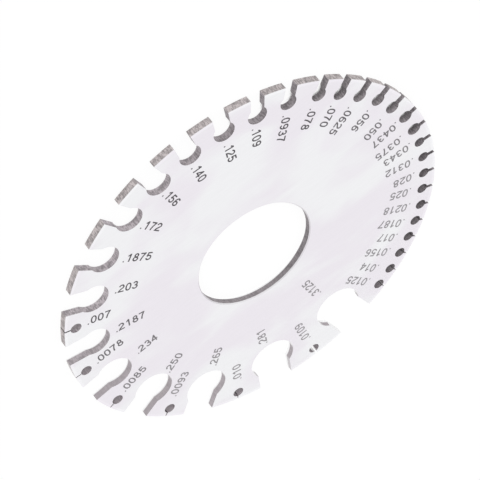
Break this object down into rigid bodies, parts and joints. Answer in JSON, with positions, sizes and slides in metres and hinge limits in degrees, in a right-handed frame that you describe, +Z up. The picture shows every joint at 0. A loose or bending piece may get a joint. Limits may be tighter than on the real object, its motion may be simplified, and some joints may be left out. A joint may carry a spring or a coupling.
{
  "type": "wire gauge",
  "caption": "Round flat steel plate with keyhole slots of graded widths round its rim and a plain centre hole, used to gauge wire and sheet metal.",
  "frame": {"origin": "on the plate's axis at its underside, the centre of the base of its box", "axes": "+Z up through the thickness, out of the side that carries the decimal sizes; seen from +Z, slot 0 lies 108 degrees anticlockwise from +X and the gauge numbers run clockwise"},
  "size_m": [0.08, 0.08, 0.0016],
  "materials": {
    "satin_steel": "satin ground faces, near white, with dull grey cut edges"
  },
  "bodies": {
    "root": {"gauge_plate": "satin_steel"}
  },
  "joints": []
}
